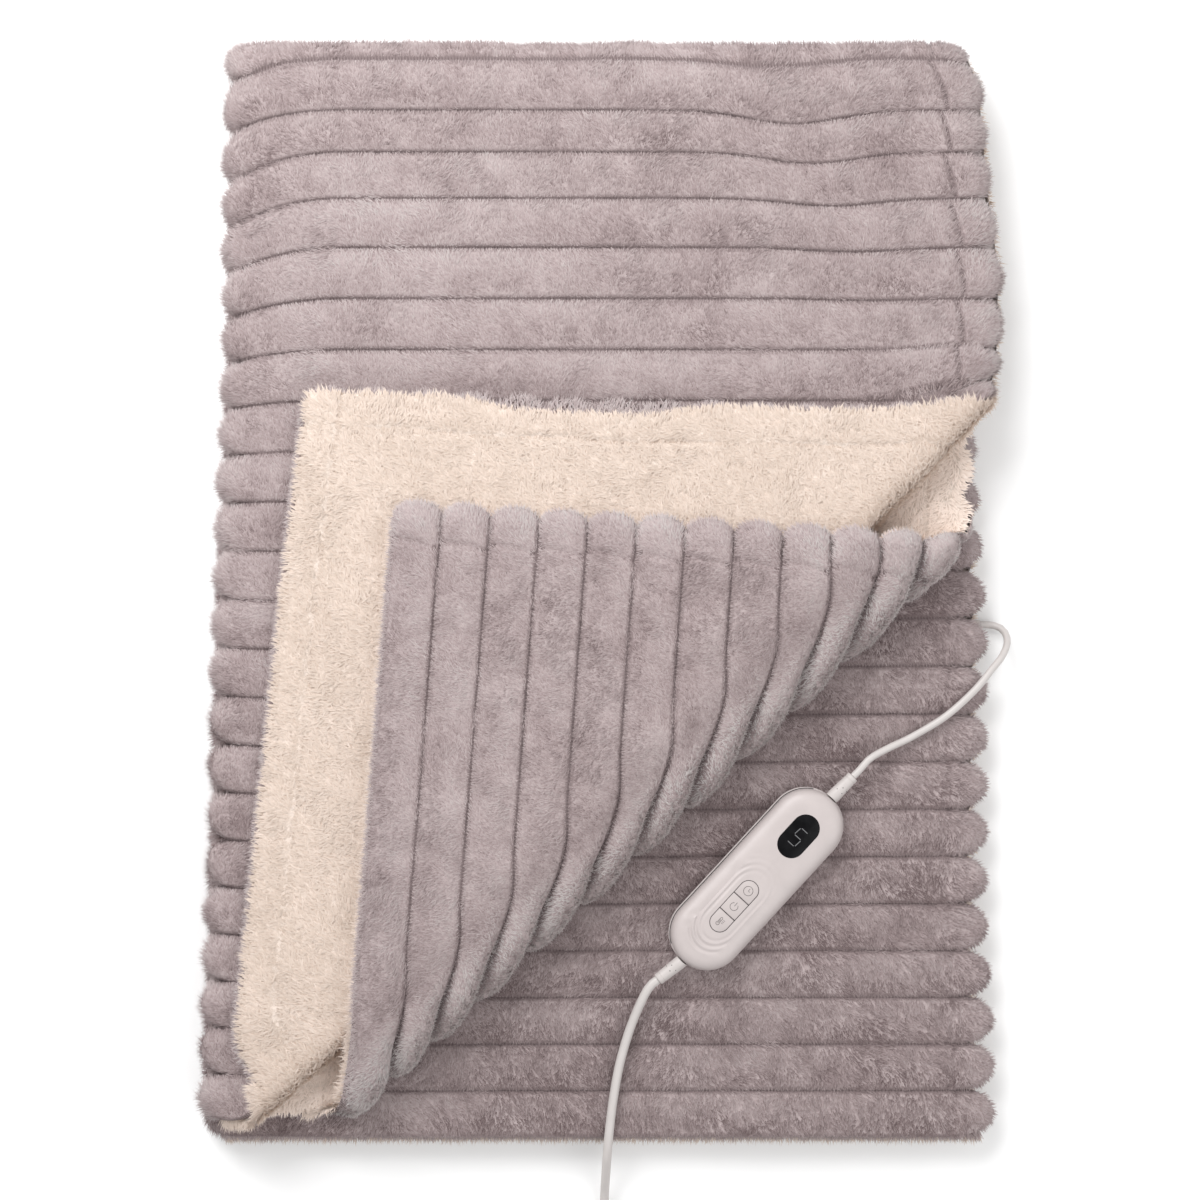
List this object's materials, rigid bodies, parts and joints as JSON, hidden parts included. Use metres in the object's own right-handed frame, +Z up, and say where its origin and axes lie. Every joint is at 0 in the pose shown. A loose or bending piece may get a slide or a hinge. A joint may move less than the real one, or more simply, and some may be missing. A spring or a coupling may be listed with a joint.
{
  "type": "electric heated throw",
  "caption": "Electric heated throw folded flat, ribbed plush outside and fleece inside, one corner turned back, with hand controller, mains lead and plug.",
  "frame": {"origin": "on the floor, under the middle of the folded throw", "axes": "+Z up from the floor, +Y along the throw's long side towards its rolled end, +X across it away from its folded side"},
  "size_m": [0.6789, 1.1144, 0.0978],
  "materials": {
    "plush": "dusty pink-grey short fur pile",
    "sherpa": "cream tufted fleece",
    "housing": "satin off-white",
    "key_face": "matte off-white",
    "window": "glossy black",
    "cord": "satin off-white sheath",
    "fitting": "matte off-white moulding",
    "pin": "bright metal"
  },
  "bodies": {
    "root": {"plush_face": "plush", "sherpa_back": "sherpa", "controller_lower_shell": "housing", "controller_upper_shell": "housing", "display_lens": "window", "key_upper": "key_face", "key_middle": "key_face", "key_lower": "key_face", "relief_mains_side": "fitting", "relief_blanket_side": "fitting", "blanket_lead": "cord", "hem_gland": "fitting", "mains_lead": "cord", "mains_coil": "cord", "mains_tail": "cord", "plug_body": "fitting", "plug_pin_left": "pin", "plug_pin_right": "pin"}
  },
  "joints": []
}
